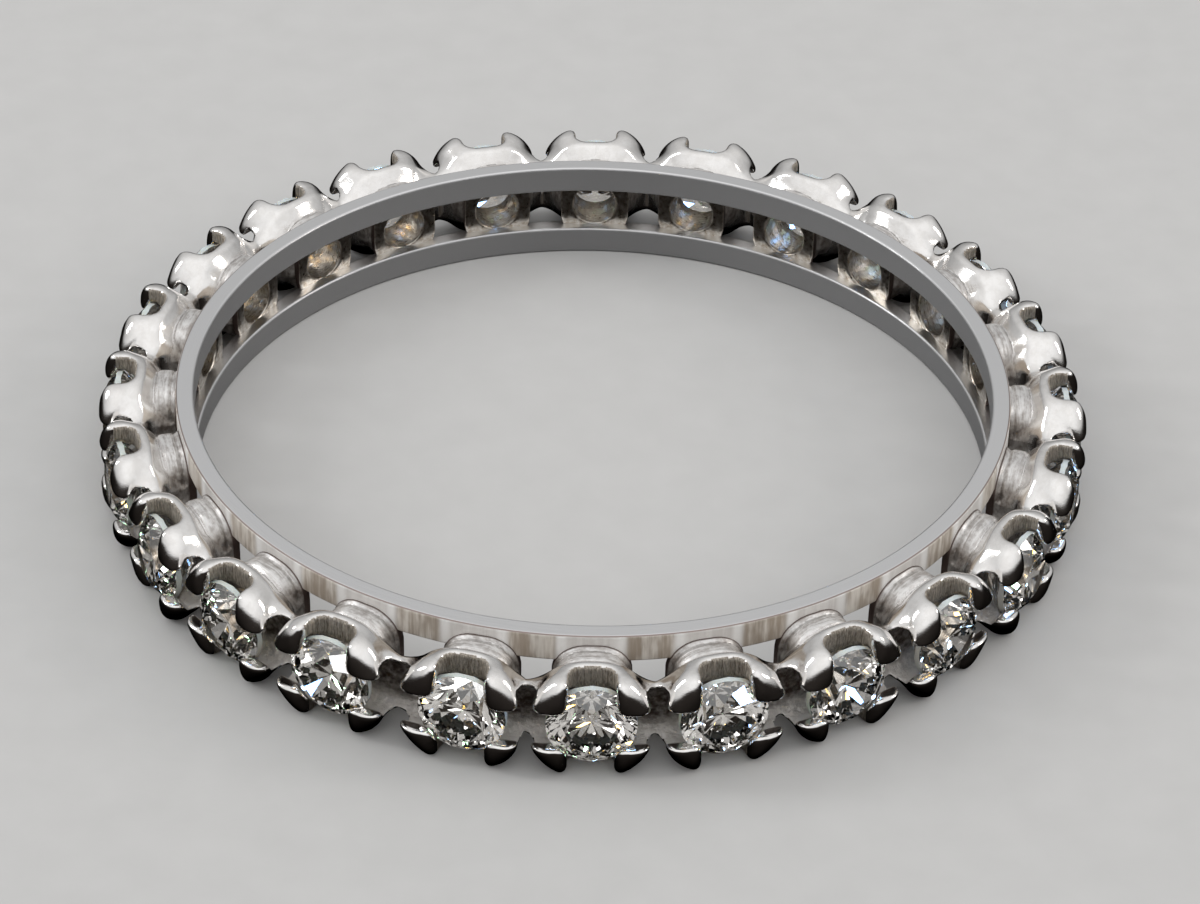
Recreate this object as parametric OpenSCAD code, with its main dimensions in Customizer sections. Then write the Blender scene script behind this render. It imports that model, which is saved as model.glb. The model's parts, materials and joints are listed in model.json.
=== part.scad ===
/* [Rails] */
// Inner diameter of the ring, where the finger goes
finger_d = 17.0; // [14:0.1:21]
// Height over both rails, along the finger
ring_h = 2.28; // [2.2:0.02:3]
// Thickness of a rail, away from the finger
rail_wall = 0.39; // [0.3:0.01:0.6]
// Height of a rail, along the finger
rail_h = 0.63; // [0.5:0.01:0.75]
// Width of the small bevel along a rail's edges
rail_bevel = 0.035; // [0.01:0.005:0.06]

/* [Stones] */
// Number of stones, and of the heads that hold them
stone_count = 24; // [18:1:25]
// Diameter of a stone at its girdle
stone_d = 1.78; // [1.4:0.02:1.8]
// Thickness of the girdle
girdle_t = 0.12; // [0.04:0.01:0.14]
// Angle of the crown's main facets
crown_angle = 34; // [30:0.5:37]
// Angle of the pavilion's main facets
pavilion_angle = 41; // [39:0.5:43]
// Width of the table, as a share of the girdle
table_share = 0.57; // [0.5:0.01:0.64]
// How near the middle the lower girdle facets end, as a share of the girdle
lower_share = 0.24; // [0.18:0.01:0.3]
// Each stone is turned in its head by this much more than the last one
stone_turn = 17; // [0:1:44]

/* [Heads] */
// From the finger to the middle of the girdle
girdle_lift = 1.65; // [1.6:0.01:1.9]
// Wall of a head round its stone, at the foot of the claws
head_wall = 0.27; // [0.22:0.01:0.3]
// From the finger to the foot of the claws, where a head starts to spread
flare_lift = 1.12; // [1.02:0.01:1.2]
// Diameter of the collar at the foot of a head
collar_d = 1.82; // [1.72:0.02:1.96]
// From the finger to the outer end of the collar
collar_lift = 0.8; // [0.6:0.01:0.85]
// Depth of the groove between a collar and its head
neck_depth = 0.07; // [0.02:0.01:0.1]
// From the rails' inside to the back of a head, which lies deeper than the rails
back_recess = 0.25; // [0.16:0.01:0.3]
// Diameter of the open back under a stone
back_d = 1.0; // [0.8:0.02:1.1]
// How far a head's top and bottom are filed back from the rails' outer faces
head_filed = 0.01; // [0.01:0.01:0.08]

/* [Claws] */
// From the middle of the girdle to the tip of a claw
claw_h = 0.38; // [0.36:0.01:0.5]
// How far the claws lean out, from their foot to their tip
claw_spread = 0.1; // [0.04:0.01:0.18]
// Radius of a claw's rounded tip
claw_round = 0.4; // [0.2:0.01:0.44]
// How far a claw reaches over the edge of its stone
claw_reach = 0.2; // [0.1:0.01:0.26]
// Width of the slot through a head, between its claws
slot_w = 0.94; // [0.7:0.02:0.98]
// Radius of the slot's two inner corners
slot_round = 0.32; // [0.2:0.01:0.34]
// From the girdle's middle down to the end of that slot
slot_drop = 0.36; // [0.12:0.01:0.4]
// Width of the channel that is turned between the upper and lower claws
channel_w = 1.2; // [0.9:0.02:1.24]
// Width that the channel keeps between the claws' tips, which bend in over the stone
channel_mouth = 0.86; // [0.7:0.02:0.9]
// How far down from the tips the channel stays that narrow
mouth_depth = 0.25; // [0.15:0.01:0.3]
// Radius of the two corners at the channel's floor
channel_round = 0.25; // [0.1:0.01:0.3]
// From the girdle's middle down to the floor of the channel
channel_drop = 0.45; // [0.34:0.01:0.48]

/* [Web] */
// Height of the web between two heads, along the finger
web_h = 1.4; // [1.36:0.02:1.5]
// Thickness of the web, away from the finger
web_t = 0.42; // [0.38:0.01:0.5]
// From the finger to the outer side of the web
web_lift = 1.47; // [1.4:0.01:1.5]
// Bevel on the four corners of the web
web_bevel = 0.16; // [0.1:0.01:0.18]

/* [Fit] */
// Gap between a stone and the metal around it
stone_gap = 0.02; // [0.015:0.005:0.03]

/* [Hidden] */
$fn = 48;
stone_names = [for (i = [1:stone_count]) str("stone_", i < 10 ? "0" : "", i)];

finger_r = finger_d / 2;
rail_r = finger_r + rail_wall;
mid_z = ring_h / 2;
pitch = 360 / stone_count;
// the first head is at the front, on the -Y side
first_angle = -90;

girdle_r = finger_r + girdle_lift;
stone_r = stone_d / 2;
table_r = stone_r * table_share;
crown_h = (stone_r - table_r) * tan(crown_angle);
pavilion_h = stone_r * tan(pavilion_angle);
// distance from the stone's axis at which star facets and lower girdle facets end
star_r = (stone_r + table_r) / 2;
lower_r = stone_r * lower_share;
// rise of the edges between upper girdle facets, the highest lines of the crown
upper_rise = tan(crown_angle) * (stone_r - star_r * cos(22.5)) / (stone_r - star_r);

head_r = stone_r + head_wall;
collar_r = collar_d / 2;
back_r = back_d / 2;
claw_tip = girdle_r + claw_h;
slot_end = girdle_r - slot_drop;
channel_end = girdle_r - channel_drop;
web_outer = finger_r + web_lift;
// far enough past the claws, or below the rails, for a cut to come out of the metal
past = 0.5;

setting_colour = [0.84, 0.82, 0.80];
stone_colour = [0.86, 0.92, 0.96];

// Turns a piece that stands on the +X axis to the place of head number i.
module at_head(i) {
    translate([0, 0, mid_z])
        rotate([0, 0, first_angle + i * pitch])
            children();
}

// Turns a profile of [radius, distance from the ring's axis] about the axis of a head.
module about_head(profile) {
    rotate([0, 90, 0])
        rotate_extrude()
            polygon(profile);
}

// One of the two plain bands that run round the finger.
module rail(z) {
    translate([0, 0, z])
        rotate_extrude($fn = 192)
            polygon([
                [finger_r + rail_bevel, 0],
                [rail_r - rail_bevel, 0],
                [rail_r, rail_bevel],
                [rail_r, rail_h - rail_bevel],
                [rail_r - rail_bevel, rail_h],
                [finger_r + rail_bevel, rail_h],
                [finger_r, rail_h - rail_bevel],
                [finger_r, rail_bevel]
            ]);
}

// One head: a collar, a narrow groove and a cup with rounded claw tips, still without its cuts.
module head() {
    collar_end = finger_r + collar_lift;
    flare = finger_r + flare_lift;
    tip_r = head_r + claw_spread;
    about_head([
        [0, finger_r - past],
        [collar_r, finger_r - past],
        [collar_r, collar_end],
        [collar_r - neck_depth, collar_end + neck_depth],
        [head_r, flare],
        for (a = [0:30:90]) [
            tip_r - claw_round * (1 - cos(a)),
            claw_tip - claw_round * (1 - sin(a))
        ],
        [0, claw_tip]
    ]);
}

// The bridge of metal between neighbouring heads, drawn as one band all round.
module web() {
    inner = web_outer - web_t;
    translate([0, 0, mid_z])
        rotate_extrude($fn = 192)
            polygon([
                [inner, -web_h / 2 + web_bevel],
                [inner + web_bevel, -web_h / 2],
                [web_outer - web_bevel, -web_h / 2],
                [web_outer, -web_h / 2 + web_bevel],
                [web_outer, web_h / 2 - web_bevel],
                [web_outer - web_bevel, web_h / 2],
                [inner + web_bevel, web_h / 2],
                [inner, web_h / 2 - web_bevel]
            ]);
}

// The channel between the upper and the lower claws: a narrow mouth, a wider bed and round corners.
module channel() {
    mouth = channel_mouth / 2;
    half = channel_w / 2;
    mouth_r = claw_tip - mouth_depth;
    bed_r = mouth_r - (half - mouth);
    translate([0, 0, mid_z])
        rotate_extrude($fn = 192)
            polygon(concat(
                [[bed_r, -half], [mouth_r, -mouth], [claw_tip + past, -mouth]],
                [[claw_tip + past, mouth], [mouth_r, mouth], [bed_r, half]],
                [for (a = [90:30:180]) channel_arc(a, half - channel_round)],
                [for (a = [180:30:270]) channel_arc(a, channel_round - half)]
            ));
}

// A point on one of the channel's two floor corners, whose centre lies beside the channel's middle.
function channel_arc(a, centre) =
    [channel_end + channel_round * (1 + cos(a)), centre + channel_round * sin(a)];

// The slot along the ring's axis that parts the claws of one head, with rounded inner corners.
module slot() {
    half = slot_w / 2;
    corner = half - slot_round;
    translate([0, 0, -ring_h])
        linear_extrude(2 * ring_h)
            polygon(concat(
                [[claw_tip + past, -half], [claw_tip + past, half]],
                [for (a = [90:30:180]) slot_arc(a, corner)],
                [for (a = [180:30:270]) slot_arc(a, -corner)]
            ));
}

// A point on one of the slot's inner corners, whose centre lies beside the slot's middle line.
function slot_arc(a, centre) = [slot_end + slot_round * (1 + cos(a)), centre + slot_round * sin(a)];

// The seat of one stone: its own outline with the gap all round, and the open back below it.
module seat() {
    seat_r = stone_r + stone_gap;
    claw_r = stone_r - claw_reach;
    below = girdle_r - girdle_t / 2 - stone_gap / cos(pavilion_angle);
    above = girdle_r + girdle_t / 2 + stone_gap / cos(atan(upper_rise));
    about_head([
        [0, finger_r - 2 * past],
        [back_r, finger_r - 2 * past],
        [back_r, below - (stone_r - back_r) * tan(pavilion_angle)],
        [seat_r, below + stone_gap * tan(pavilion_angle)],
        [seat_r, above - stone_gap * upper_rise],
        [claw_r, above + claw_reach * upper_rise],
        [claw_r, claw_tip + past],
        [0, claw_tip + past]
    ]);
}

// The room that the heads are cut to: behind the rails' inside, and between their outer faces.
module heads_room() {
    rotate_extrude($fn = 192)
        translate([finger_r + back_recess, head_filed])
            square([claw_tip + past - finger_r - back_recess, ring_h - 2 * head_filed]);
}

// All of the metal, soldered into one piece and then cut for the stones.
module setting() {
    color(setting_colour)
    difference() {
        union() {
            rail(0);
            rail(ring_h - rail_h);
            intersection() {
                for (i = [0:stone_count - 1]) at_head(i) head();
                heads_room();
            }
            web();
        }
        channel();
        for (i = [0:stone_count - 1]) at_head(i) slot();
        for (i = [0:stone_count - 1]) at_head(i) seat();
    }
}

// A point of the stone, on its own axis: radius, angle and height above the middle of the girdle.
function stone_point(r, a, z) = [r * cos(a), r * sin(a), z];

// A round brilliant: table, star, main and girdle facets above, main and girdle facets below.
module stone(i) {
    top = girdle_t / 2;
    // star and lower tips lie where two neighbouring main facets meet
    star_z = top + (stone_r - star_r) * upper_rise;
    lower_z = -top - (stone_r - lower_r * cos(22.5)) * tan(pavilion_angle);
    girdle = 16;
    mains = 8;
    table0 = 0;
    star0 = table0 + mains;
    upper0 = star0 + mains;
    under0 = upper0 + girdle;
    lower0 = under0 + girdle;
    culet = lower0 + mains;
    points = concat(
        [for (k = [0:mains - 1]) stone_point(table_r, 45 * k, top + crown_h)],
        [for (k = [0:mains - 1]) stone_point(star_r, 45 * k + 22.5, star_z)],
        [for (k = [0:girdle - 1]) stone_point(stone_r, 22.5 * k, top)],
        [for (k = [0:girdle - 1]) stone_point(stone_r, 22.5 * k, -top)],
        [for (k = [0:mains - 1]) stone_point(lower_r, 45 * k + 22.5, lower_z)],
        [[0, 0, -top - pavilion_h]]
    );
    faces = concat(
        [[for (k = [mains - 1:-1:0]) table0 + k]],
        [for (k = [0:mains - 1]) [table0 + k, table0 + (k + 1) % mains, star0 + k]],
        [for (k = [0:mains - 1])
            [table0 + k, star0 + k, upper0 + 2 * k, star0 + (k + mains - 1) % mains]],
        [for (k = [0:mains - 1]) [star0 + k, upper0 + 2 * k + 1, upper0 + 2 * k]],
        [for (k = [0:mains - 1])
            [star0 + k, upper0 + (2 * k + 2) % girdle, upper0 + 2 * k + 1]],
        [for (k = [0:girdle - 1])
            [upper0 + k, upper0 + (k + 1) % girdle, under0 + (k + 1) % girdle, under0 + k]],
        [for (k = [0:mains - 1]) [lower0 + k, under0 + 2 * k, under0 + 2 * k + 1]],
        [for (k = [0:mains - 1])
            [lower0 + k, under0 + 2 * k + 1, under0 + (2 * k + 2) % girdle]],
        [for (k = [0:mains - 1])
            [culet, lower0 + (k + mains - 1) % mains, under0 + 2 * k, lower0 + k]]
    );
    color(stone_colour)
    at_head(i)
        translate([girdle_r, 0, 0])
            rotate([0, 90, 0])
                rotate([0, 0, i * stone_turn])
                    polyhedron(points, faces);
}

setting();
for (i = [0:stone_count - 1])
    stone(i);
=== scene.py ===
import math

import bmesh
import bpy
import numpy as np
from mathutils import Matrix, Vector
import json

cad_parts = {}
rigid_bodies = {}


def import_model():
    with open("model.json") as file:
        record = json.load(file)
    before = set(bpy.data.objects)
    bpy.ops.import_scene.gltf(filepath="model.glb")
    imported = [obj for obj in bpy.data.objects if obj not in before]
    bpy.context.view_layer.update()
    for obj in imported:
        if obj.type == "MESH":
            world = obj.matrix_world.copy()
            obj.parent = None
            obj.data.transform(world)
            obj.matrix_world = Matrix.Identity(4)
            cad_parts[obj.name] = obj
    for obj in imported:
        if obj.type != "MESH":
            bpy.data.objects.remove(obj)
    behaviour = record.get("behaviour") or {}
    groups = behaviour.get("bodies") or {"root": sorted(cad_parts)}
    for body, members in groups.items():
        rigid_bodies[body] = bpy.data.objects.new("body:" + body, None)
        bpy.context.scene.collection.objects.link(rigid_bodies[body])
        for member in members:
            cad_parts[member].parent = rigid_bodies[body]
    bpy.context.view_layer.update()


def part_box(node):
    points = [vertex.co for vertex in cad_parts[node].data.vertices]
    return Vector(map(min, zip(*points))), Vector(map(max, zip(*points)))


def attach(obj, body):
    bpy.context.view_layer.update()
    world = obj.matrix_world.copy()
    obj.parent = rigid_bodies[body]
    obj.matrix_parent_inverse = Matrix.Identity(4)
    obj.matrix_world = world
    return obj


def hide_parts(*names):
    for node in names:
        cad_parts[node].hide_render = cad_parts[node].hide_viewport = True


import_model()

# The two rails
# Flat bands of white gold run round the finger above and below the stones.
# Each is drawn, bent and soldered, then filed flat on top, and keeps file marks on its outer side.
MM = 0.001
setting_low, setting_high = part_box("setting")
ring_h = (setting_high.z - setting_low.z) / MM
mid_z = ring_h / 2
finger_r = 8.5
rail_wall = 0.39
rail_h = 0.63
rail_r = finger_r + rail_wall
rail_edge = 0.06
rail_steps = 384
stone_count = 24


class Wire:
    """A socket in one material's node tree: sums written on it become nodes."""

    def __init__(self, tree, socket=None):
        self.tree = tree
        self.socket = socket

    def node(self, kind, settings=None, sockets=None, out=0):
        """Adds a node with its settings, fills its sockets with values or wires, and gives one output."""
        made = self.tree.nodes.new(kind)
        for name, value in (settings or {}).items():
            if name == "stops":
                ramp = made.color_ramp.elements
                while len(ramp) < len(value):
                    ramp.new(0.5)
                for stop, (place, colour) in zip(ramp, value):
                    stop.position = place
                    stop.color = (*colour, 1)
            else:
                setattr(made, name, value)
        for name, value in (sockets or {}).items():
            if isinstance(value, Wire):
                self.tree.links.new(value.socket, made.inputs[name])
            else:
                made.inputs[name].default_value = value
        return Wire(self.tree, made.outputs[out])

    def sum(self, operation, first, second=0.0):
        return self.node("ShaderNodeMath", {"operation": operation}, {0: first, 1: second})

    def __add__(self, other):
        return self.sum("ADD", self, other)

    __radd__ = __add__

    def __sub__(self, other):
        return self.sum("SUBTRACT", self, other)

    def __rsub__(self, other):
        return self.sum("SUBTRACT", other, self)

    def __mul__(self, other):
        return self.sum("MULTIPLY", self, other)

    __rmul__ = __mul__

    def __truediv__(self, other):
        return self.sum("DIVIDE", self, other)

    def __rtruediv__(self, other):
        return self.sum("DIVIDE", other, self)

    def between(self, low, high):
        """0 below low, 1 above high, and a smooth step from one to the other."""
        return self.node(
            "ShaderNodeMapRange",
            {"interpolation_type": "SMOOTHSTEP"},
            {"Value": self, "From Min": low, "From Max": high},
        )

    def mix(self, dark, light):
        """The colour dark where this is 0 and light where it is 1."""
        colours = {
            end: value if isinstance(value, Wire) else (*value, 1)
            for end, value in ((6, dark), (7, light))
        }
        return self.node(
            "ShaderNodeMix",
            {"data_type": "RGBA", "clamp_factor": True},
            {0: self, **colours},
            out=2,
        )


def new_material(name):
    """An empty material with its Principled shader, and a loose wire to start its sums from."""
    material = bpy.data.materials.new(name)
    material.use_nodes = True
    tree = material.node_tree
    shader = tree.nodes["Principled BSDF"]
    return material, shader, Wire(tree)


def ring_places(wire):
    """Millimetres round the ring, out from its axis and up from its middle, so that marks follow it."""
    place = wire.node("ShaderNodeTexCoord", out=3)
    x, y, z = (wire.node("ShaderNodeSeparateXYZ", None, {0: place}, out=axis) for axis in range(3))
    angle = wire.sum("ARCTAN2", x, 0 - y)
    radius = wire.sum("SQRT", x * x + y * y)
    return angle * rail_r, radius / MM, z / MM - mid_z


def marks(wire, round_ring, out, up, detail=4.0, roughness=0.6):
    """Noise from 0 to 1 that can be drawn out along the ring, across it or up it."""
    place = wire.node("ShaderNodeCombineXYZ", None, {0: round_ring, 1: out, 2: up})
    return wire.node(
        "ShaderNodeTexNoise",
        None,
        {"Vector": place, "Scale": 1.0, "Detail": detail, "Roughness": roughness},
    )


def finish(shader, wire, colour, roughness, height, depth, polish=None):
    """Sets a metal's colour, roughness and a relief depth millimetres deep. A low polish scatters light."""
    tree = wire.tree
    bump = wire.node("ShaderNodeBump", None, {"Height": height, "Strength": 1.0, "Distance": depth * MM})
    tree.links.new(bump.socket, shader.inputs["Normal"])
    tree.links.new(colour.socket, shader.inputs["Base Color"])
    tree.links.new(roughness.socket, shader.inputs["Roughness"])
    shader.inputs["Metallic"].default_value = 1.0
    if polish:
        tree.links.new(polish.socket, shader.inputs["Metallic"])


def satin_rail():
    """Filed and rubbed white gold: fine scratches along the band, upright file marks on its outer side."""
    material, shader, wire = new_material("satin_rail")
    along, out, up = ring_places(wire)
    scratches = marks(wire, along * 1.2, out * 38, up * 38)
    grain = marks(wire, along * 22, out * 22, up * 22)
    filed = marks(wire, along * 9, out * 0.6, up * 0.7, detail=3)
    broad = marks(wire, along * 2.1, out * 0.6, up * 0.9, detail=3)
    side = out.between(rail_r - 0.03, rail_r - 0.01)
    inside = 1 - out.between(finger_r + 0.01, finger_r + 0.03)
    top = 1 - side
    corner = (up * up).between((mid_z - 0.035) ** 2, (mid_z - 0.015) ** 2)
    edge = out.between(rail_r - 0.045, rail_r - 0.03) * corner
    # Brown file marks on the side, painted paler behind each head and with a painted bright strip at both
    # sides of it: both are painted reflections of the collars.
    from_head = wire.sum("PINGPONG", along, math.pi * rail_r / stone_count)
    painted_sheen_behind_head = 1 - from_head.between(0.60, 0.80)
    painted_collar_flare = from_head.between(0.42, 0.56) * (1 - from_head.between(0.60, 0.74))
    colour = (broad * 0.5 + filed * 0.5).between(0.38, 0.62).mix((0.44, 0.37, 0.30), (0.86, 0.81, 0.74))
    colour = (painted_sheen_behind_head * 0.7).mix(colour, (0.86, 0.85, 0.84))
    colour = painted_collar_flare.mix(colour, (1.0, 0.99, 0.97))
    colour = top.mix(colour, (0.74, 0.74, 0.745))
    # A painted dark reflection runs along the top's outer edge.
    colour = edge.mix(colour, (0.30, 0.24, 0.22))
    # The inner face is painted a darker grey, as painted shade.
    colour = inside.mix(colour, (0.50, 0.50, 0.505))
    roughness = side * (filed * 0.25 + 0.36) + top * (grain * 0.15 + 0.24)
    height = side * (filed * 0.8 + broad * 1.6 + grain * 0.3) + top * (scratches * 0.35 + grain * 0.3)
    finish(shader, wire, colour, roughness, height, 0.010, 1 - side * 0.7 - inside * 0.45)
    return material


def lathe(name, profile, normals, steps):
    """A closed profile of (radius, height) in millimetres, turned about the ring's axis."""
    count = len(profile)
    angles = np.arange(steps) * (2 * math.pi / steps)
    around = np.stack([np.cos(angles), np.sin(angles)], axis=1)
    places = np.array(profile)
    facing = np.array(normals)
    points = np.empty((steps, count, 3))
    points[..., :2] = around[:, None, :] * places[None, :, :1]
    points[..., 2] = places[None, :, 1]
    turned = np.empty((steps, count, 3))
    turned[..., :2] = around[:, None, :] * facing[None, :, :1]
    turned[..., 2] = facing[None, :, 1]
    here = np.arange(steps)[:, None] * count + np.arange(count)[None, :]
    beside = np.roll(here, -1, axis=0)
    quads = np.stack([here, beside, np.roll(beside, -1, axis=1), np.roll(here, -1, axis=1)], axis=-1)
    mesh = bpy.data.meshes.new(name)
    mesh.from_pydata((points.reshape(-1, 3) * MM).tolist(), [], quads.reshape(-1, 4).tolist())
    mesh.shade_smooth()
    mesh.normals_split_custom_set_from_vertices(turned.reshape(-1, 3).tolist())
    piece = bpy.data.objects.new(name, mesh)
    bpy.context.scene.collection.objects.link(piece)
    return piece


def rail_profile(base):
    """A flat band's section with small round edges, and the direction that each of its points faces."""
    corners = [
        (finger_r + rail_edge, base + rail_edge, 180),
        (rail_r - rail_edge, base + rail_edge, 270),
        (rail_r - rail_edge, base + rail_h - rail_edge, 0),
        (finger_r + rail_edge, base + rail_h - rail_edge, 90),
    ]
    profile, normals = [], []
    for centre_r, centre_z, start in corners:
        for turn in (0, 30, 60, 90):
            angle = math.radians(start + turn)
            normals.append((math.cos(angle), math.sin(angle)))
            profile.append((centre_r + rail_edge * math.cos(angle), centre_z + rail_edge * math.sin(angle)))
    return profile, normals


rail_metal = satin_rail()
for rail_name, rail_base in (("lower_rail", 0.0), ("upper_rail", ring_h - rail_h)):
    rail = lathe(rail_name, *rail_profile(rail_base), rail_steps)
    rail.data.materials.append(rail_metal)
    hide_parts("setting")
    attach(rail, "root")

# The heads
# Each stone sits in a turned cup on a short collar, soldered between the rails and to its neighbours.
# A slot and a channel are cut through the cup, and what is left of its rim is four polished claws.
pitch = 2 * math.pi / stone_count
head_cell = 0.05
girdle_place = finger_r + 1.65

# The collar, with a groove turned in it near the rail, and the neck between it and the cup.
collar_r = 0.90
collar_half = 0.76
collar_round = 0.64
collar_end = finger_r + 0.80
collar_edge = 0.05
groove_place = 0.10
groove_half = 0.07
groove_deep = 0.05
foot_flare = 0.03
neck_r = 0.84
neck_end = collar_end + 0.07
neck_over = 0.1
neck_edge = 0.02
flare_start = rail_r + 0.10

# The cup and its claws, which are rounder and lean out further above and below than at the sides.
cup_r = 1.16
cup_foot = finger_r + 1.12
cup_edge = 0.05
cup_fillet = 0.03
claw_tip = girdle_place + 0.38
claw_inner = 0.66
claw_bulge = 0.04
tip_slope = math.radians(5)
top_spread = 0.12
top_round = 0.50
side_spread = 0.09
side_round = 0.26
upright_from = 0.3
upright_span = 0.5

# The open back, the flat top and bottom, and the web that joins neighbouring cups.
back_place = finger_r + 0.255
back_edge = 0.04
head_half = mid_z - 0.005
head_edge = 0.08
meeting_fillet = 0.05
web_inner = finger_r + 1.05
web_outer = finger_r + 1.47
web_half = 0.60
web_round = 0.16
web_fillet = 0.32

# The cuts, and how far the polishing has worn the edges that they leave.
channel_half = 0.60
channel_mouth = 0.43
mouth_place = claw_tip - 0.25
channel_floor = girdle_place - 0.45
channel_round = 0.25
slot_half = 0.47
slot_floor = girdle_place - 0.36
slot_round = 0.30
slot_spread = 0.09
slot_spread_deep = 0.3
claw_corner = 0.22
cut_edge = 0.12
worn_edge = 0.10
worn_deep = 0.3
worn_from = 0.5
worn_span = 0.5

# The seat: a cone under the stone, a short wall round its edge, and the claws' undersides over it.
stone_r = 0.89
pavilion_slope = math.tan(math.radians(41))
back_r = 0.5
seat_gap = 0.03
seat_low = 0.07
seat_high = 0.07
claw_low = 0.085
claw_rise = 0.86
claw_reach = 0.24
seat_lean = 0.7
seat_edge = 0.05

# How far the front heads stand off their even places, and how wide three of them came out.
seen_shifts = {21: 0.0, 22: 0.0, 23: 0.16, 0: 0.03, 1: -0.04, 2: -0.08, 3: -0.10, 4: -0.06}
seen_spreads = {23: 1.03, 0: 0.975, 1: 1.02}


def joined(first, second, fillet):
    """The distance to both of two solids, with a round fillet where they meet."""
    share = np.clip(0.5 + 0.5 * (second - first) / fillet, 0, 1)
    return second * (1 - share) + first * share - fillet * share * (1 - share)


def trimmed(first, second, edge):
    """The distance to what two solids share, with a round edge where their faces meet."""
    return -joined(-first, -second, edge)


def rounded_box(along, across, radius):
    """The distance to a rectangle with round corners, from how far a point is past its two inset sides."""
    outside = np.hypot(np.maximum(along, 0), np.maximum(across, 0))
    return outside + np.minimum(np.maximum(along, across), 0) - radius


def cup_distance(out, side, up):
    """One head before its cuts: a collar with a chamfered end, and a flaring cup with a fat round rim."""
    radius = np.hypot(side, up)
    from_rail = np.maximum(np.hypot(out, side) - rail_r, 0)
    groove = groove_deep * np.maximum(1 - np.abs(from_rail - groove_place) / groove_half, 0)
    groove -= foot_flare * np.maximum(1 - from_rail / groove_place, 0)
    tube = rounded_box(
        np.abs(side) - collar_half + collar_round, np.abs(up) - collar_r + collar_round, collar_round
    )
    chamfer = (tube + out - collar_end) * math.sqrt(0.5)
    collar = trimmed(tube + groove, chamfer, collar_edge)
    collar = trimmed(collar, out - neck_end - neck_over, neck_edge)
    diagonal = (2 * side * up / np.maximum(radius**2, 1e-6)) ** 2
    radius = radius * (1 - claw_bulge * diagonal)
    upright = np.clip((np.abs(up) / np.maximum(radius, 1e-6) - upright_from) / upright_span, 0, 1)
    flare = flare_start + (neck_end - flare_start) * upright
    slant = np.arctan2(cup_foot - flare, cup_r - neck_r)
    shoulder = (radius - neck_r) * np.sin(slant) - (out - flare) * np.cos(slant)
    tip_round = side_round + (top_round - side_round) * upright
    spread = side_spread + (top_spread - side_spread) * upright
    lean = np.arctan2(spread, claw_tip - tip_round - cup_foot)
    wall = (radius - cup_r) * np.cos(lean) - (out - cup_foot) * np.sin(lean)
    flank = trimmed(shoulder, wall, cup_edge)
    tip = (out - claw_tip) * math.cos(tip_slope) + (radius - claw_inner) * math.sin(tip_slope)
    cup = rounded_box(flank + tip_round, tip + tip_round, tip_round)
    return joined(collar, cup, cup_fillet)


def head_parts(angle, radius, up):
    """Distances in millimetres to the uncut metal and to each cut, for points round the first head."""
    out, side = radius * np.cos(angle), radius * np.sin(angle)
    beside = pitch - np.abs(angle)
    next_out, next_side = radius * np.cos(beside), radius * np.sin(beside)
    cups = joined(cup_distance(out, side, up), cup_distance(next_out, next_side, up), meeting_fillet)
    cups = trimmed(cups, np.abs(up) - head_half, head_edge)
    cups = trimmed(cups, back_place - radius, back_edge)
    middle, half = (web_inner + web_outer) / 2, (web_outer - web_inner) / 2
    web = rounded_box(
        np.abs(radius - middle) - half + web_round, np.abs(up) - web_half + web_round, web_round
    )
    metal = joined(cups, web, web_fillet)
    narrowing = np.clip((radius - mouth_place) / (channel_half - channel_mouth) + 1, 0, 1)
    narrowing = narrowing**2 * (3 - 2 * narrowing)
    half = channel_half + (channel_mouth - channel_half) * narrowing
    channel = rounded_box(
        np.abs(up) - half + channel_round, channel_floor + channel_round - radius, channel_round
    )
    spread = slot_spread * np.clip((out - claw_tip) / slot_spread_deep + 1, 0, 1) ** 2
    slot = rounded_box(
        np.abs(side) - slot_half - spread + slot_round, slot_floor + slot_round - out, slot_round
    )
    from_axis = np.hypot(side, up)
    cone = (stone_r - back_r) * pavilion_slope
    seat = np.interp(
        out,
        [
            girdle_place - seat_low - cone,
            girdle_place - seat_low,
            girdle_place + seat_high,
            girdle_place + claw_low + claw_reach * claw_rise,
        ],
        [back_r, stone_r + seat_gap, stone_r + seat_gap, stone_r - claw_reach],
    )
    return metal, channel, slot, (from_axis - seat) * seat_lean


def head_distance(angle, radius, up):
    """The distance to the finished metal: negative inside it, positive outside."""
    metal, channel, slot, seat = head_parts(angle, radius, up)
    tip = np.clip((radius - girdle_place) / worn_deep, 0, 1)
    tip = tip * np.clip((np.abs(up) - worn_from) / worn_span, 0, 1)
    metal = trimmed(metal, -joined(channel, slot, claw_corner), cut_edge + worn_edge * tip)
    return trimmed(metal, -seat, seat_edge)


def distance_at(points):
    """The distance for points given as (out, side, up) in the first head's own frame."""
    out, side, up = points.T
    return head_distance(np.arctan2(side, out), np.hypot(out, side), up)


def slope_at(points):
    """The direction in which the distance grows, which is the way that the surface faces."""
    step = 0.004
    slope = np.empty_like(points)
    for axis in range(3):
        shift = np.zeros(3)
        shift[axis] = step
        slope[:, axis] = distance_at(points + shift) - distance_at(points - shift)
    return slope / (2 * step)


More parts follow.
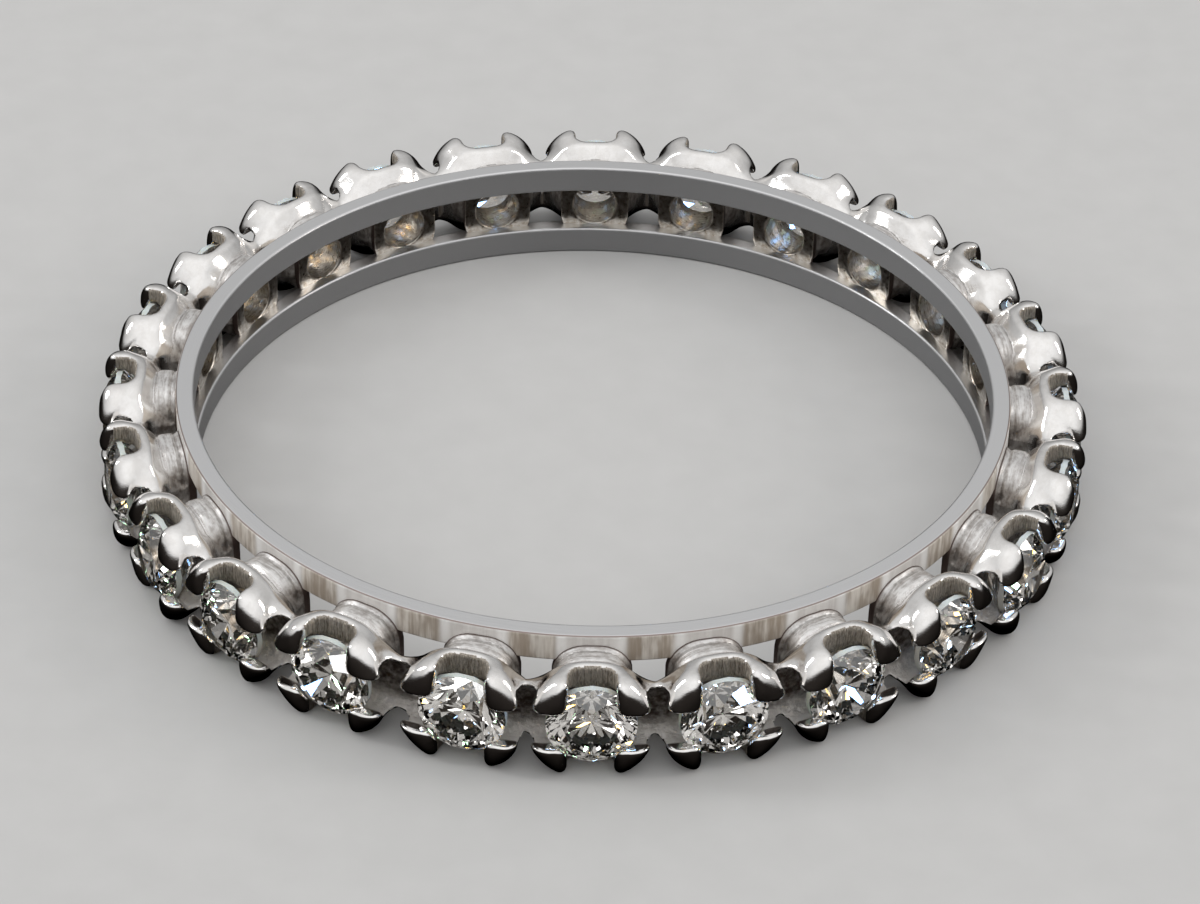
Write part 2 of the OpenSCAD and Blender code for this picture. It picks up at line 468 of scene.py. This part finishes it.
def head_surface():
    """The first head's skin as points and four-sided faces, with one point in each cell that it passes.

    The points are then drawn onto the exact skin. Those at both ends stay on the cut to the next head.
    """
    cells = round(pitch * girdle_place / head_cell)
    step = pitch / cells
    angles = -pitch / 2 - step / 2 + step * np.arange(cells + 2)
    radii = np.arange(back_place - 2.5 * head_cell, claw_tip + 2 * head_cell, head_cell)
    layers = round(2 * (mid_z + head_cell) / head_cell)
    heights = (np.arange(layers + 1) - layers / 2) * head_cell
    grid = np.stack(np.meshgrid(angles, radii, heights, indexing="ij"), axis=-1)
    value = head_distance(grid[..., 0], grid[..., 1], grid[..., 2])
    inside = value < 0
    total = np.zeros([size - 1 for size in value.shape] + [3])
    crossings = np.zeros([size - 1 for size in value.shape])
    crossed = []
    for axis in range(3):
        near = [slice(None)] * 3
        far = [slice(None)] * 3
        near[axis] = slice(None, -1)
        far[axis] = slice(1, None)
        near, far = tuple(near), tuple(far)
        cross = inside[near] != inside[far]
        share = np.where(cross, value[near] / np.where(cross, value[near] - value[far], 1), 0)
        point = (grid[near] + (grid[far] - grid[near]) * share[..., None]) * cross[..., None]
        crossed.append((cross, inside[near]))
        others = [other for other in range(3) if other != axis]
        for first in (0, 1):
            for second in (0, 1):
                part = [slice(None)] * 3
                part[others[0]] = slice(first, first - 1 or None)
                part[others[1]] = slice(second, second - 1 or None)
                total += point[tuple(part)]
                crossings += cross[tuple(part)]
    used = crossings > 0
    number = np.full(used.shape, -1)
    number[used] = np.arange(used.sum())
    points = total[used] / crossings[used][:, None]
    column = np.nonzero(used)[0]
    faces = []
    for axis, (cross, starts_inside) in enumerate(crossed):
        first, second = [other for other in range(3) if other != axis]
        where = np.argwhere(cross)
        fits = np.ones(len(where), bool)
        for other in (first, second):
            fits &= (where[:, other] > 0) & (where[:, other] < number.shape[other])
        where = where[fits]
        corners = []
        for back_first, back_second in ((1, 1), (0, 1), (0, 0), (1, 0)):
            cell = where.copy()
            cell[:, first] -= back_first
            cell[:, second] -= back_second
            corners.append(number[tuple(cell.T)])
        quads = np.stack(corners, axis=1)
        flip = starts_inside[tuple(where.T)] != (axis == 1)
        quads[flip] = quads[flip][:, ::-1]
        faces.append(quads)
    faces = np.concatenate(faces)
    ends = np.where(column == 0, -1, np.where(column == cells, 1, 0))
    points[ends != 0, 0] = ends[ends != 0] * pitch / 2
    places = np.stack(
        [points[:, 1] * np.cos(points[:, 0]), points[:, 1] * np.sin(points[:, 0]), points[:, 2]], axis=1
    )
    across = np.stack([-np.sin(points[:, 0]), np.cos(points[:, 0]), np.zeros(len(points))], axis=1)
    for _ in range(4):
        slope = slope_at(places)
        slope -= across * (slope * across).sum(axis=1, keepdims=True) * (ends != 0)[:, None]
        size = np.maximum((slope**2).sum(axis=1, keepdims=True), 0.05)
        move = slope * (distance_at(places)[:, None] / size)
        length = np.linalg.norm(move, axis=1, keepdims=True)
        places -= move * np.minimum(1, head_cell / np.maximum(length, 1e-9))
    normals = slope_at(places)
    normals -= across * (normals * across).sum(axis=1, keepdims=True) * (ends != 0)[:, None]
    normals /= np.linalg.norm(normals, axis=1, keepdims=True)
    return places, normals, faces, ends


def polished_metal():
    """Polished white gold on the outside of cups and collars, with fine wear and shallow hollows. The
    collars are painted light on top and painted shade lower down, with a painted shadow in the crease at
    the rail.
    """
    material, shader, wire = new_material("polished_head")
    along, out, up = ring_places(wire)
    hollows = marks(wire, along * 2.2, out * 2.2, up * 2.2, detail=1)
    wear = marks(wire, along * 30, out * 30, up * 30, detail=5)
    cloudy = marks(wire, along * 5, out * 5, up * 5, detail=3)
    rough_foot = 1 - out.between(collar_end - 0.1, cup_foot - 0.1)
    drawn = marks(wire, along * 1.8, out * 20, up * 1.8, detail=4, roughness=0.7)
    pitted = marks(wire, along * 7, out * 9, up * 7, detail=3)
    colour = cloudy.between(0.35, 0.65).mix((0.80, 0.78, 0.76), (0.86, 0.845, 0.83))
    lit = (drawn * 0.6 + pitted * 0.4).between(0.36, 0.60)
    # Painted light and shade on the collars: lit on top, shaded lower down, over their drawn and pitted
    # marks.
    collar_shade = (pitted * 0.6 + cloudy * 0.4).between(0.35, 0.65).mix((0.20, 0.17, 0.15), (0.52, 0.49, 0.46))
    collar_light_and_shade = up.between(0.50, 0.80).mix(collar_shade, lit.mix((0.42, 0.39, 0.37), (0.82, 0.81, 0.80)))
    # A painted dark shadow line in the crease where the collar meets the rail.
    rail_crease_shade = 1 - out.between(rail_r + 0.015, rail_r + 0.045)
    colour = rail_crease_shade.mix(rough_foot.mix(colour, collar_light_and_shade), (0.10, 0.07, 0.06))
    roughness = wear * 0.08 + 0.07 + rough_foot * (cloudy * 0.2 + 0.16)
    height = hollows * 0.8 + wear * 0.12 + rough_foot * (drawn * 1.8 + pitted * 0.6)
    finish(shader, wire, colour, roughness, height, 0.012, 1 - rough_foot * 0.3)
    return material


def slot_metal():
    """The slot's filed floor and sides: upright scratches, greyer and rougher than the polish."""
    material, shader, wire = new_material("filed_slot")
    along, out, up = ring_places(wire)
    scratches = marks(wire, along * 30, out * 30, up * 2.5, detail=5, roughness=0.8)
    fine = marks(wire, along * 45, out * 45, up * 10, detail=3)
    colour = (scratches * 0.7 + fine * 0.3).between(0.35, 0.65).mix((0.26, 0.22, 0.18), (0.80, 0.74, 0.66))
    roughness = scratches * 0.2 + 0.5
    height = scratches * 1.6 + fine * 0.3
    finish(shader, wire, colour, roughness, height, 0.020)
    return material


def channel_metal():
    """The channel's rough floor and sides, brown and less polished, with painted shade deep inside and
    painted light on the lower shelf and towards the mouth.
    """
    material, shader, wire = new_material("rough_channel")
    along, out, up = ring_places(wire)
    lumps = marks(wire, along * 9, out * 9, up * 9, detail=5)
    fine = marks(wire, along * 40, out * 40, up * 40, detail=4)
    stains = marks(wire, along * 3, out * 3, up * 3, detail=3)
    shelf = 1 - up.between(-0.50, -0.12)
    lip = out.between(channel_floor + 0.05, channel_floor + 0.35)
    # Painted light and shade: dark deep in the channel, lighter on the lower shelf and towards the mouth,
    # with lumps and stains mixed in.
    bright = lip * 0.3 + shelf * 0.7 + (lumps * 0.6 + stains * 0.4).between(0.38, 0.7) * 0.4
    colour = bright.mix((0.06, 0.04, 0.03), (0.82, 0.78, 0.74))
    roughness = lumps * 0.3 + 0.28
    height = lumps * 1.5 + fine * 0.5
    polish = 1 - lumps.between(0.3, 0.7) * 0.3 - shelf * lip * 0.5
    finish(shader, wire, colour, roughness, height, 0.034, polish)
    return material


def seat_metal():
    """The seat under a stone and the open back, left as the cutter leaves them."""
    material, shader, wire = new_material("cut_seat")
    along, out, up = ring_places(wire)
    turned = marks(wire, along * 8, out * 25, up * 8, detail=3)
    colour = turned.between(0.3, 0.7).mix((0.42, 0.36, 0.29), (0.74, 0.70, 0.64))
    roughness = turned * 0.2 + 0.2
    finish(shader, wire, colour, roughness, turned, 0.008)
    return material


back_skin = 0.02
polish_from = girdle_place + 0.12


def surface_kinds(places, faces):
    """Which finish each face has: 0 polished, 1 slot, 2 channel, 3 seat and back."""
    out, side, up = places[faces].mean(axis=1).T
    radius = np.hypot(out, side)
    metal, channel, slot, seat = head_parts(np.arctan2(side, out), radius, up)
    nearest = np.argmax(np.stack([metal, -slot, -channel, -seat]), axis=0)
    nearest[(nearest == 0) & (radius < back_place + back_skin)] = 3
    nearest[((nearest == 1) | (nearest == 2)) & (radius > polish_from)] = 0
    return nearest


hand_slip = 0.016
twist_share = 0.7
hand_widening = 0.015
hand_lean = 0.02
hand_squeeze = 0.004


def hand_work(places, ends, chance, number):
    """Moves a cup and its claws by a few hundredths of a millimetre, as work done by hand comes out.

    It also gives what that does to the seat: its shift aside and outward, and its lean aside and up.
    """
    out, side, up = places.T
    angle = np.arctan2(side, out)
    still = 1 - (angle / (pitch / 2)) ** 8
    reach = np.clip((out - collar_end) / (claw_tip - collar_end), 0, 1)
    shift, twist = chance.normal(0, hand_slip, 2) * (1, twist_share)
    shift = seen_shifts.get(number, shift)
    wider = seen_spreads.get(number, 1 + np.abs(chance.normal(0, hand_widening))) - 1
    lean = chance.normal(0, hand_lean, 4)
    push = lean[0] + lean[1] * side + lean[2] * up + lean[3] * side * up
    moved = places.copy()
    moved[:, 0] += still * reach * push
    moved[:, 1] += still * (shift + reach * (twist * up + wider * side))
    moved[:, 2] -= up * np.abs(chance.normal(0, hand_squeeze)) * reach * still
    moved[ends != 0] = places[ends != 0]
    at_seat = (girdle_place - collar_end) / (claw_tip - collar_end)
    return moved, (shift, *(lean[:3] * at_seat))


head_metals = [polished_metal(), slot_metal(), channel_metal(), seat_metal()]
places, normals, faces, ends = head_surface()
kinds = surface_kinds(places, faces)
chance = np.random.default_rng(24)
seats = []
for i in range(stone_count):
    name = f"head_{i + 1:02d}"
    moved, seat = hand_work(places, ends, chance, i)
    seats.append(seat)
    turn = Matrix.Rotation(i * pitch - math.pi / 2, 3, "Z")
    rotation = np.array(turn)
    mesh = bpy.data.meshes.new(name)
    mesh.from_pydata(((moved @ rotation.T + (0, 0, mid_z)) * MM).tolist(), [], faces.tolist())
    mesh.shade_smooth()
    for metal in head_metals:
        mesh.materials.append(metal)
    mesh.polygons.foreach_set("material_index", kinds.astype(np.int32))
    mesh.normals_split_custom_set_from_vertices((normals @ rotation.T).tolist())
    head = bpy.data.objects.new(name, mesh)
    bpy.context.scene.collection.objects.link(head)
    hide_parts("setting")
    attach(head, "root")

# The stones
# Small round brilliants are pressed into the seats, and the claw tips are rubbed down over their edges.
# Each is cut from clear diamond: polished facets above and below a thick frosted girdle.
girdle_t = 0.14
crown_slope = math.tan(math.radians(34))
table_r = stone_r * 0.57
star_r = (stone_r + table_r) / 2
lower_r = stone_r * 0.24
girdle_sides = 96
stone_turn = 17


def clear_diamond():
    """Colourless diamond, which bends light strongly."""
    material, shader, _ = new_material("diamond")
    shader.inputs["Base Color"].default_value = (0.72, 0.695, 0.66, 1)
    shader.inputs["Roughness"].default_value = 0.0
    shader.inputs["IOR"].default_value = 2.42
    shader.inputs["Transmission Weight"].default_value = 1.0
    return material


def frosted_girdle():
    """The ground edge of a stone, matt and pale grey."""
    material, shader, wire = new_material("frosted_girdle")
    along, out, up = ring_places(wire)
    grain = marks(wire, along * 60, out * 60, up * 60, detail=3)
    colour = grain.between(0.3, 0.7).mix((0.26, 0.26, 0.245), (0.40, 0.40, 0.385))
    bump = wire.node("ShaderNodeBump", None, {"Height": grain, "Strength": 0.5, "Distance": 0.006 * MM})
    wire.tree.links.new(bump.socket, shader.inputs["Normal"])
    wire.tree.links.new(colour.socket, shader.inputs["Base Color"])
    shader.inputs["Roughness"].default_value = 0.55
    shader.inputs["IOR"].default_value = 1.6
    return material


def rim_point(radius, turn, height):
    """A point of the stone at that distance from its axis, that many degrees round and that high."""
    angle = math.radians(turn)
    return Vector((radius * math.cos(angle), radius * math.sin(angle), height))


def facet_planes():
    """Three points on the plane of each facet of a round brilliant, in millimetres from its middle."""
    top = girdle_t / 2
    table = top + (stone_r - table_r) * crown_slope
    culet = -top - stone_r * pavilion_slope
    eighth = math.cos(math.radians(22.5))
    star = top + (stone_r - star_r * eighth) * crown_slope
    lower = -top - (stone_r - lower_r * eighth) * pavilion_slope
    planes = [[rim_point(table_r, turn, table) for turn in (0, 120, 240)]]
    for k in range(8):
        main, half = 45 * k, 45 * k + 22.5
        planes.append([
            rim_point(table_r, main, table),
            rim_point(table_r, main + 45, table),
            rim_point(star_r, half, star),
        ])
        planes.append([
            rim_point(stone_r, main, top),
            rim_point(star_r, half, star),
            rim_point(star_r, main - 22.5, star),
        ])
        planes.append([
            Vector((0, 0, culet)),
            rim_point(lower_r, half, lower),
            rim_point(lower_r, main - 22.5, lower),
        ])
        for side in (-1, 1):
            rim = main + side * 22.5
            planes.append([
                rim_point(stone_r, main, top),
                rim_point(stone_r, rim, top),
                rim_point(star_r, rim, star),
            ])
            planes.append([
                rim_point(stone_r, main, -top),
                rim_point(stone_r, rim, -top),
                rim_point(lower_r, rim, lower),
            ])
    return planes


def cut_brilliant():
    """A round rod, ground on each facet's plane in turn. The upright faces left from it are the girdle."""
    blank = bmesh.new()
    bmesh.ops.create_cone(
        blank, cap_ends=True, segments=girdle_sides, radius1=stone_r, radius2=stone_r, depth=3 * stone_r
    )
    for first, second, third in facet_planes():
        facing = (second - first).cross(third - first).normalized()
        if facing.dot(first) < 0:
            facing.negate()
        parts = blank.verts[:] + blank.edges[:] + blank.faces[:]
        cut = bmesh.ops.bisect_plane(
            blank, geom=parts, plane_co=first, plane_no=facing, clear_outer=True, dist=1e-6
        )
        rim = [part for part in cut["geom_cut"] if isinstance(part, bmesh.types.BMEdge)]
        if rim:
            bmesh.ops.contextual_create(blank, geom=rim)
    bmesh.ops.recalc_face_normals(blank, faces=blank.faces[:])
    for face in blank.faces:
        face.material_index = 1 if abs(face.normal.z) < 0.02 else 0
    mesh = bpy.data.meshes.new("brilliant")
    blank.to_mesh(mesh)
    blank.free()
    return mesh


brilliant = cut_brilliant()
stone_glass = [clear_diamond(), frosted_girdle()]
stand_up = Matrix.Rotation(math.radians(90), 4, "Y")
for i in range(stone_count):
    name = f"diamond_{i + 1:02d}"
    shift, push, lean_aside, lean_up = seats[i]
    tilt = Matrix.Rotation(-lean_aside, 4, "Z") @ Matrix.Rotation(lean_up, 4, "Y")
    spin = Matrix.Rotation(math.radians(stone_turn * i), 4, "Z")
    out = Matrix.Translation((girdle_place + push, shift, 0))
    turn = Matrix.Rotation(i * pitch - math.pi / 2, 4, "Z")
    rise = Matrix.Translation((0, 0, mid_z))
    mesh = brilliant.copy()
    mesh.transform(Matrix.Scale(MM, 4) @ rise @ turn @ out @ tilt @ stand_up @ spin)
    for glass in stone_glass:
        mesh.materials.append(glass)
    stone = bpy.data.objects.new(name, mesh)
    bpy.context.scene.collection.objects.link(stone)
    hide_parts(f"stone_{i + 1:02d}")
    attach(stone, "root")
bpy.data.meshes.remove(brilliant)

# The table top
# A plain pale board that the ring lies on, with matt, slightly uneven paint.
# The metal doesn't mirror it, so that the claws stay dark on their ends and undersides.
board = bpy.data.meshes.new("board")
board.from_pydata([(-1, -1, 0), (1, -1, 0), (1, 1, 0), (-1, 1, 0)], [], [(0, 1, 2, 3)])
floor = bpy.data.objects.new("floor", board)
bpy.context.scene.collection.objects.link(floor)


def pale_board():
    """Matt light grey paint."""
    material, shader, wire = new_material("pale_board")
    place = wire.node("ShaderNodeTexCoord", out=3)
    grain = wire.node("ShaderNodeTexNoise", None, {"Vector": place, "Scale": 900.0, "Detail": 4.0})
    colour = grain.mix((0.56, 0.557, 0.55), (0.62, 0.617, 0.61))
    wire.tree.links.new(colour.socket, shader.inputs["Base Color"])
    shader.inputs["Roughness"].default_value = 0.7
    return material


board.materials.append(pale_board())
floor.visible_glossy = False

# The light
# Plain soft studio light: a wide bright ceiling over a dark room, and a weak panel at each side.
# Small lamps all round light the stones alone, and give them their flashes.
def panel(name, place, width, depth, power, colour=(1, 1, 1)):
    """A soft light of that size in metres, aimed at the ring."""
    light = bpy.data.lights.new(name, "AREA")
    light.shape = "RECTANGLE"
    light.size = width
    light.size_y = depth
    light.energy = power
    light.color = colour
    lamp = bpy.data.objects.new(name, light)
    lamp.location = place
    aim = Vector((0, 0, mid_z * MM)) - Vector(place)
    lamp.rotation_euler = aim.to_track_quat("-Z", "Y").to_euler()
    bpy.context.scene.collection.objects.link(lamp)
    return lamp


panel("left_panel", (-0.20, 0.02, 0.12), 0.03, 0.10, 0.10)
panel("right_panel", (0.20, 0.0, 0.10), 0.03, 0.08, 0.07, (1.0, 0.95, 0.9))

stones_only = bpy.data.collections.new("stones_only")
for stone in bpy.data.objects:
    if stone.name.startswith("diamond_"):
        stones_only.objects.link(stone)
spark_colours = [
    (1, 1, 1), (0.2, 0.45, 1.0), (1, 1, 1), (1.0, 0.62, 0.15), (1, 1, 1), (0.35, 0.6, 1.0), (0.5, 1.0, 0.6),
]
spark_count = 32
spark_distance = 0.12
lowest_spark = 8
spark_rise = 62
white_power = 9
coloured_power = 20
more_aside = 3.5
golden_turn = math.pi * (3 - math.sqrt(5))
for i in range(spark_count):
    rise = math.radians(lowest_spark + spark_rise * ((i * 7) % spark_count) / spark_count)
    turn = i * golden_turn
    place = Vector((math.cos(turn) * math.cos(rise), math.sin(turn) * math.cos(rise), math.sin(rise)))
    wide = 0.010 + 0.006 * (i % 3)
    colour = spark_colours[i % len(spark_colours)]
    power = white_power if min(colour) == 1 else coloured_power
    power = power * wide**2 * (1 + more_aside * abs(place.x))
    lamp = panel(f"spark_{i + 1:02d}", place * spark_distance, wide, wide, power, colour)
    lamp.visible_camera = False
    lamp.light_linking.receiver_collection = stones_only
world = bpy.data.worlds.new("room")
bpy.context.scene.world = world
world.use_nodes = True
sky = Wire(world.node_tree)
direction = sky.node("ShaderNodeTexCoord", out=0)
back = sky.node("ShaderNodeSeparateXYZ", None, {0: direction}, out=1)
high = sky.node("ShaderNodeSeparateXYZ", None, {0: direction}, out=2)
aside = sky.node("ShaderNodeSeparateXYZ", None, {0: direction}, out=0)
overhead = back * 0.2 + high * 0.98 + aside * aside * 0.14
ceiling = sky.node(
    "ShaderNodeValToRGB",
    {"stops": [
        (0.0, (0.032, 0.027, 0.024)), (0.11, (0.065, 0.058, 0.054)), (0.26, (1.0, 1.0, 1.0)),
    ]},
    {"Fac": overhead},
)
backdrop = world.node_tree.nodes["Background"]
world.node_tree.links.new(ceiling.socket, backdrop.inputs["Color"])
strength = high * 0.50 - back * 0.25 + 0.50
world.node_tree.links.new(strength.socket, backdrop.inputs["Strength"])

# The camera
# It looks down on the ring from the front, close up, with the front stones a little below the middle.
# It is aimed at the middle of the ring's top, and then turned a little down, right and on its side.
elevation = math.radians(34.5994)
azimuth = math.radians(-0.46765)
distance = 79.22 * MM
pitch_down = math.radians(1.15987)
yaw_right = math.radians(0.12537)
roll = math.radians(1.32009)
away = Vector((
    math.sin(azimuth) * math.cos(elevation), -math.cos(azimuth) * math.cos(elevation), math.sin(elevation),
))
forward = -away
right = forward.cross(Vector((0, 0, 1))).normalized()
up = right.cross(forward)
forward, up = (
    forward * math.cos(pitch_down) - up * math.sin(pitch_down),
    up * math.cos(pitch_down) + forward * math.sin(pitch_down),
)
forward, right = (
    forward * math.cos(yaw_right) + right * math.sin(yaw_right),
    right * math.cos(yaw_right) - forward * math.sin(yaw_right),
)
right, up = (
    right * math.cos(roll) + up * math.sin(roll),
    up * math.cos(roll) - right * math.sin(roll),
)
lens = bpy.data.cameras.new("camera")
lens.lens = 111.30
lens.sensor_width = 36
lens.sensor_fit = "HORIZONTAL"
lens.clip_start = 0.002
lens.clip_end = 20
camera = bpy.data.objects.new("camera", lens)
camera.matrix_world = Matrix.Translation(away * distance + Vector((0, 0, ring_h * MM))) @ Matrix(
    (right, up, -forward)
).transposed().to_4x4()
bpy.context.scene.collection.objects.link(camera)
bpy.context.scene.camera = camera

bpy.context.scene.view_settings.view_transform = "Standard"
bpy.context.scene.cycles.max_bounces = 24
bpy.context.scene.cycles.transmission_bounces = 20
bpy.context.scene.cycles.glossy_bounces = 8
